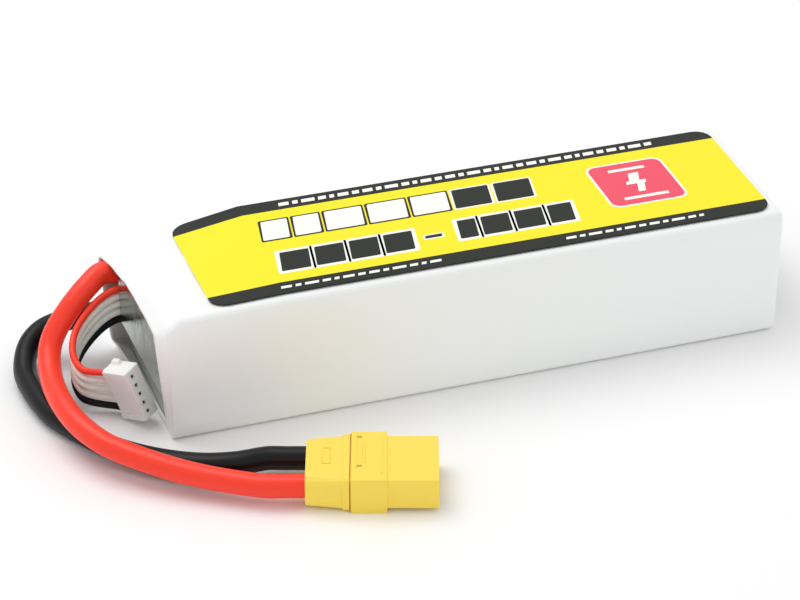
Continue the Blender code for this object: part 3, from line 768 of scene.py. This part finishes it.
@dataclass
class PowerLeads:
    """The red and the black lead, from the cells' end tabs to the solder cups."""

    diameter: float = 5.6
    spacing: float = 10.9
    exit_y: float = 17.6
    start_x: float = -65.9
    straight: float = 9.0
    end_x: float = 4.6
    axis_z: float = 4.6
    rings: int = 8
    place: Matrix = field(default_factory=plug_place)
    red_exit: float = 23.4
    black_exit: float = 13.4
    red_middle: tuple[tuple[float, float, float], ...] = (
        (-80.8, 17.2, 24.4),
        (-84.5, 15.2, 23.1),
        (-89.0, 12.8, 20.2),
        (-93.1, 10.7, 16.4),
        (-95.4, 8.9, 13.8),
        (-96.9, 6.2, 11.6),
        (-97.9, 1.5, 9.7),
        (-98.3, -4.5, 8.9),
        (-97.9, -12.4, 8.8),
        (-96.5, -19.4, 8.5),
        (-94.1, -25.4, 8.0),
        (-90.9, -30.2, 7.3),
        (-83.5, -37.4, 6.3),
        (-76.9, -42.6, 5.5),
        (-69.5, -47.4, 4.9),
    )
    black_middle: tuple[tuple[float, float, float], ...] = (
        (-81.3, 18.0, 13.1),
        (-86.3, 19.5, 11.9),
        (-91.3, 21.2, 10.0),
        (-95.5, 21.9, 8.1),
        (-98.9, 20.0, 6.3),
        (-101.1, 16.4, 4.4),
        (-102.2, 11.4, 3.1),
        (-102.0, 5.8, 2.9),
        (-101.1, -1.0, 2.9),
        (-99.7, -6.7, 2.9),
        (-97.4, -11.8, 2.9),
        (-94.4, -17.0, 2.9),
        (-90.9, -22.4, 2.9),
        (-86.9, -27.2, 2.9),
        (-80.1, -33.2, 3.1),
        (-71.9, -38.8, 3.8),
        (-64.3, -41.8, 4.5),
    )

    def route(
        self, way: int, exit_z: float, middle: tuple[tuple[float, float, float], ...]
    ) -> list[Vector]:
        """Points of one lead.

        Args:
            way: Minus one for the near contact, one for the far one.
            exit_z: Its height where it leaves the tab.
            middle: Points between the mouth and the plug.

        Returns:
            The whole route, in millimetres.
        """
        points = [Vector((x, self.exit_y, exit_z)) for x in (self.start_x, CREASE_X)]
        points += [Vector(point) for point in middle]
        for x in (-self.straight, -self.straight / 2, self.end_x):
            points.append(self.place @ Vector((x, way * self.spacing / 2, self.axis_z)))
        return points

    def build(self) -> None:
        """Makes both leads."""
        for node, way, exit_z, middle, finish, pole in (
            ("red_lead", -1, self.red_exit, self.red_middle, RED_SILICONE, "plus"),
            ("black_lead", 1, self.black_exit, self.black_middle, BLACK_SILICONE, "minus"),
        ):
            route = self.route(way, exit_z, middle)
            piece = flexible_tube(f"{node}_silicone", route, self.diameter, self.rings)
            dress(piece, finish.material())
            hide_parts(node)


@dataclass
class BalancePlug:
    """Five-way white housing on five thin wires."""

    mating_centre: tuple[float, float] = (-79.3, -14.2)
    facing: tuple[float, float, float] = (0.54, -0.79, 0.28)
    up: tuple[float, float, float] = (-0.325, 0.1665, 0.93)
    rest_height: float = 0.3
    pitch: float = 2.5
    ways: int = 5
    end_wall: float = 1.9
    depth: float = 7.8
    thickness: float = 4.7
    key_start: float = 1.0
    key_length: float = 2.2
    key_width: float = 1.4
    key_offset: float = 1.2
    key_height: float = 1.1
    way_offset: float = -0.6
    hole_width: float = 0.98
    rib_inset: float = 0.1
    rib_height: float = 1.4
    rib_sink: float = 0.01
    rib_relief: float = 0.28
    rib_edge: float = 0.12
    shade_back: float = -0.6
    shade_front: float = -0.45
    wire_entry: float = 2.5
    wire_diameter: float = 1.7
    rings: int = 5
    exit_pitch: float = 2.15
    exit_y: float = 13.2
    exit_z: float = 17.4
    board_x: float = -68.8
    fit: float = 0.3
    middle: tuple[tuple[float, float, float], ...] = (
        (-78.8, 13.2, 17.3),
        (-82.6, 12.2, 16.2),
        (-86.9, 9.8, 14.0),
        (-90.1, 6.6, 12.0),
        (-91.9, 2.8, 10.0),
        (-92.1, -0.8, 8.4),
        (-90.7, -4.0, 7.4),
    )

    def height(self) -> float:
        """Height of the housing along its row of ways, in millimetres."""
        return (self.ways - 1) * self.pitch + 2 * self.end_wall

    def place(self) -> Matrix:
        """Finds how the housing lies with its lowest corner at its rest height.

        Returns:
            Its place in millimetres, its own x running to its mating face.
        """
        facing = Vector(self.facing).normalized()
        up = Vector(self.up)
        up = (up - up.dot(facing) * facing).normalized()
        turn = Matrix((facing, up.cross(facing), up)).transposed().to_4x4()
        half = self.height() / 2
        corners = []
        for x in (0.0, -self.depth):
            for y in (-self.thickness / 2, self.thickness / 2):
                corners.append(turn @ Vector((x, y, -half)))
        for x in (self.key_start - self.depth, self.key_start + self.key_length - self.depth):
            for y in (self.key_offset - self.key_width / 2, self.key_offset + self.key_width / 2):
                corners.append(turn @ Vector((x, y, -half - self.key_height)))
        lift = self.rest_height - min(corner.z for corner in corners)
        return Matrix.Translation((*self.mating_centre, lift)) @ turn

    def build_wires(self) -> None:
        """Makes the five wires, one above the other."""
        place = self.place()
        finishes = [(RED_SILICONE, "red_silicone")]
        finishes += [(WHITE_SILICONE, "white_silicone")] * (self.ways - 2)
        finishes += [(BLACK_SILICONE, "black_silicone")]
        for index, (finish, slot) in enumerate(finishes):
            step = (self.ways - 1) / 2 - index
            rise = step * self.exit_pitch
            route = [
                Vector((self.board_x - self.fit, self.exit_y, self.exit_z + rise)),
                Vector((CREASE_X, self.exit_y, self.exit_z + rise)),
            ]
            route += [Vector((x, y, z + rise)) for x, y, z in self.middle]
            for x in (-self.depth - self.wire_entry, self.wire_entry - self.depth):
                route.append(place @ Vector((x, self.way_offset, step * self.pitch)))
            node = f"balance_wire_{index + 1}"
            piece = flexible_tube(f"{node}_silicone", route, self.wire_diameter, self.rings)
            dress(piece, finish.material())
            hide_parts(node)

    def build_housing_details(self) -> None:
        """Adds the ribs at both ends of the near broad face and a dark block in each pin hole,
        which is painted shade.
        """
        placed = in_metres(self.place())
        half = self.height() / 2
        side = self.thickness / 2
        inset, reach = self.rib_inset, self.rib_inset + self.rib_height
        for name, low, high in (
            ("rib_top", half - reach, half - inset),
            ("rib_foot", -half + inset, -half + reach),
        ):
            piece = block(
                f"balance_{name}",
                (-self.depth + inset, -side - self.rib_relief, low),
                (-inset, -side - self.rib_sink, high),
                self.rib_edge,
            )
            settle(piece, placed)
            dress(piece, WHITE_NYLON.material())
        # One dark block in each pin hole: painted shade in the opening.
        hole = self.hole_width / 2
        for index in range(self.ways):
            z = ((self.ways - 1) / 2 - index) * self.pitch
            piece = block(
                f"balance_pin_shade_{index + 1}",
                (self.shade_back, self.way_offset - hole, z - hole),
                (self.shade_front, self.way_offset + hole, z + hole),
            )
            settle(piece, placed)
            dress(piece, PAINTED_HOLE_SHADE.material())

    def build(self) -> None:
        """Makes the wires and the housing's details."""
        self.build_wires()
        self.build_housing_details()


# --- power plug ----------------------------------------------------------------


@dataclass
class PowerPlugMarks:
    """Raised frames on the two halves of the power plug, and darker yellow marks that are painted
    shade.
    """

    place: Matrix = field(default_factory=plug_place)
    collar_start: float = 10.3
    collar_top: float = 9.2
    cap_top: float = 8.87
    relief: float = 0.16
    shade_relief: float = 0.04
    sink: float = 0.01
    edge: float = 0.05
    # Start and end along the collar from its rear, then the sides, in millimetres.
    ribs: tuple[tuple[float, float, float, float], ...] = (
        (1.0, 1.35, -4.6, 8.6),
        (2.3, 2.6, -2.8, 5.6),
        (3.0, 3.3, -2.8, 5.6),
        (6.9, 7.3, -7.2, 7.2),
    )
    # Middles of the notches across the collar.
    notches: tuple[float, ...] = (7.4, -4.0)
    notch_half_width: float = 0.35
    # Start and end along the cap from its tail, then the sides.
    panel_bars: tuple[tuple[float, float, float, float], ...] = (
        (3.6, 3.85, -2.6, 3.6),
        (5.4, 5.65, -2.6, 3.6),
        (3.6, 5.65, -2.6, -2.35),
        (3.6, 5.65, 3.35, 3.6),
    )

    def mark(
        self,
        name: str,
        low: tuple[float, float, float],
        high: tuple[float, float, float],
        finish: Finish,
        body: Body,
    ) -> None:
        """Adds one raised bar.

        Args:
            name: The piece's name.
            low: Lowest corner in the plug's own axes, in millimetres.
            high: Highest corner.
            finish: Its surface.
            body: The half that it belongs to.
        """
        piece = block(name, low, high, self.edge)
        settle(piece, in_metres(self.place))
        dress(piece, finish.material(), body)

    def build(self) -> None:
        """Adds every mark, those of the collar and then the cap's panel."""
        start = self.collar_start
        low = self.collar_top + self.sink
        high = self.collar_top + self.relief
        shade = low + self.shade_relief
        for index, (x0, x1, y0, y1) in enumerate(self.ribs):
            self.mark(
                f"collar_rib_{index + 1}",
                (start + x0, y0, low),
                (start + x1, y1, high),
                YELLOW_NYLON,
                Body.PACK,
            )
        # The notches take the darker yellow: painted shade in the recesses.
        for index, y in enumerate(self.notches):
            self.mark(
                f"collar_notch_{index + 1}",
                (start + 1.3, y - self.notch_half_width, low),
                (start + 2.5, y + self.notch_half_width, shade),
                SHADED_NYLON,
                Body.PACK,
            )
        # A thin dark sheet across the gap between cap and collar: painted shade in the gap.
        self.mark(
            "collar_rear_wall",
            (start - 0.28, -9.3, 0.3),
            (start - self.sink, 9.3, 8.8),
            SHADED_NYLON,
            Body.PACK,
        )
        for index, (x0, x1, y0, y1) in enumerate(self.panel_bars):
            self.mark(
                f"cap_panel_{index + 1}",
                (x0, y0, self.cap_top),
                (x1, y1, self.cap_top + self.relief),
                YELLOW_NYLON,
                Body.CAP,
            )
        # The dot takes the darker yellow: painted shade in a recess.
        self.mark(
            "collar_dot",
            (start + 6.8, -6.9, low),
            (start + 7.2, -6.5, shade),
            SHADED_NYLON,
            Body.PACK,
        )


# --- setting -------------------------------------------------------------------


@dataclass
class Studio:
    """Pale floor, even sky and a soft key light, seen by one camera."""

    floor_size: float = 6.0
    focal: float = 128.25
    distance: float = 0.699828634
    azimuth: float = -0.318403331
    elevation: float = 0.564216271
    target: tuple[float, float, float] = (-0.0103165, 0.0011186, 0.0124414)
    sky_strength: float = 0.76
    key_place: tuple[float, float, float] = (-0.25, 0.35, 0.9)
    key_size: float = 0.7
    key_power: float = 3.9
    fill_place: tuple[float, float, float] = (0.5, -0.7, 0.6)
    fill_size: float = 0.8
    fill_power: float = 0.25
    sensor_width: float = 36.0
    nearest: float = 0.01
    farthest: float = 50.0

    def floor(self) -> None:
        """Lays a plain white floor."""
        deselect()
        bpy.ops.mesh.primitive_plane_add(size=self.floor_size, location=(0, 0, 0))
        piece = bpy.context.object
        piece.name = "studio_floor"
        floor_finish = Finish("matt_white_floor", "FAFAFA", 0.7, relief=0.001)
        piece.data.materials.append(floor_finish.material())

    def sky(self) -> None:
        """Sets an even white surround."""
        world = bpy.data.worlds.new("studio_sky")
        world.use_nodes = True
        bpy.context.scene.world = world
        background = world.node_tree.nodes["Background"]
        background.inputs["Color"].default_value = (1.0, 1.0, 1.0, 1.0)
        background.inputs["Strength"].default_value = self.sky_strength

    def lamp(
        self, name: str, place: tuple[float, float, float], size: float, power: float
    ) -> None:
        """Hangs a soft square lamp that faces the pack.

        Args:
            name: The lamp's name.
            place: Where it hangs, in metres.
            size: Its side, in metres.
            power: Its power, in watts.
        """
        data = bpy.data.lights.new(name, "AREA")
        data.size = size
        data.energy = power
        lamp = bpy.data.objects.new(name, data)
        lamp.location = place
        lamp.rotation_mode = "QUATERNION"
        aim = Vector(self.target) - Vector(place)
        lamp.rotation_quaternion = aim.to_track_quat("-Z", "Y")
        bpy.context.scene.collection.objects.link(lamp)

    def camera(self) -> None:
        """Sets up the camera, which looks at the target from its azimuth and elevation."""
        data = bpy.data.cameras.new("view")
        data.sensor_width = self.sensor_width
        data.lens = self.focal
        data.clip_start = self.nearest
        data.clip_end = self.farthest
        camera = bpy.data.objects.new("view", data)
        offset = Vector(
            (
                math.sin(self.azimuth) * math.cos(self.elevation),
                -math.cos(self.azimuth) * math.cos(self.elevation),
                math.sin(self.elevation),
            )
        )
        camera.location = Vector(self.target) + offset * self.distance
        camera.rotation_mode = "QUATERNION"
        camera.rotation_quaternion = (-offset).to_track_quat("-Z", "Y")
        bpy.context.scene.collection.objects.link(camera)
        bpy.context.scene.camera = camera

    def build(self) -> None:
        """Sets up the floor, the light and the camera."""
        self.floor()
        self.sky()
        self.lamp("key_lamp", self.key_place, self.key_size, self.key_power)
        self.lamp("fill_lamp", self.fill_place, self.fill_size, self.fill_power)
        self.camera()
        bpy.context.scene.view_settings.view_transform = "Standard"


def main() -> None:
    """Builds the pack's sub-assemblies in order, then the setting."""
    logging.basicConfig(level=logging.INFO, format="%(message)s")
    dress_frame_nodes()
    ShrinkSleeve().build()
    LabelPrint().build()
    PowerLeads().build()
    BalancePlug().build()
    PowerPlugMarks().build()
    Studio().build()


if __name__ == "__main__":
    main()
